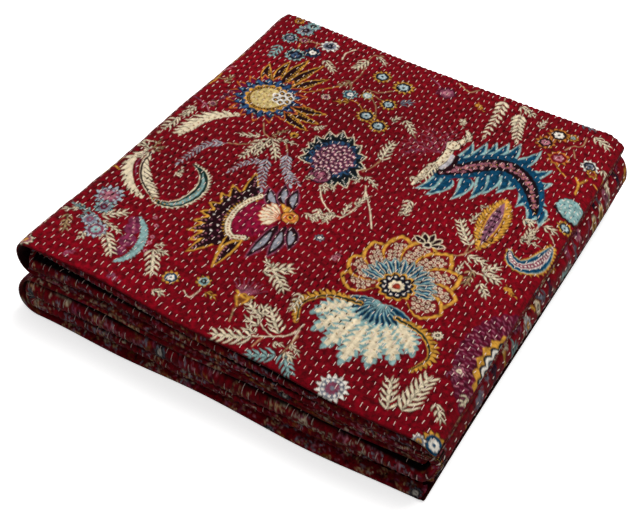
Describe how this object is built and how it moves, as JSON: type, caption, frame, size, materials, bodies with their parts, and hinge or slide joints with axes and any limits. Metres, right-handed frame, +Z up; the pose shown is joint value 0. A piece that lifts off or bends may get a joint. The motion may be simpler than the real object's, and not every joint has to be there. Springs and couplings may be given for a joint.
{
  "type": "kantha quilt",
  "caption": "Kantha quilt throw in deep red printed cotton with rows of running stitch, folded into a neat square stack.",
  "frame": {"origin": "centre of the bounding box of the folded stack, on the floor it lies on", "axes": "+Z up through the layers, +X along the front of the folded stack to the right, +Y from its front to its back"},
  "size_m": [0.4066, 0.434, 0.084],
  "materials": {
    "printed_cotton": "soft matte stitched cotton"
  },
  "bodies": {
    "root": {"kantha_quilt": "printed_cotton"}
  },
  "joints": []
}
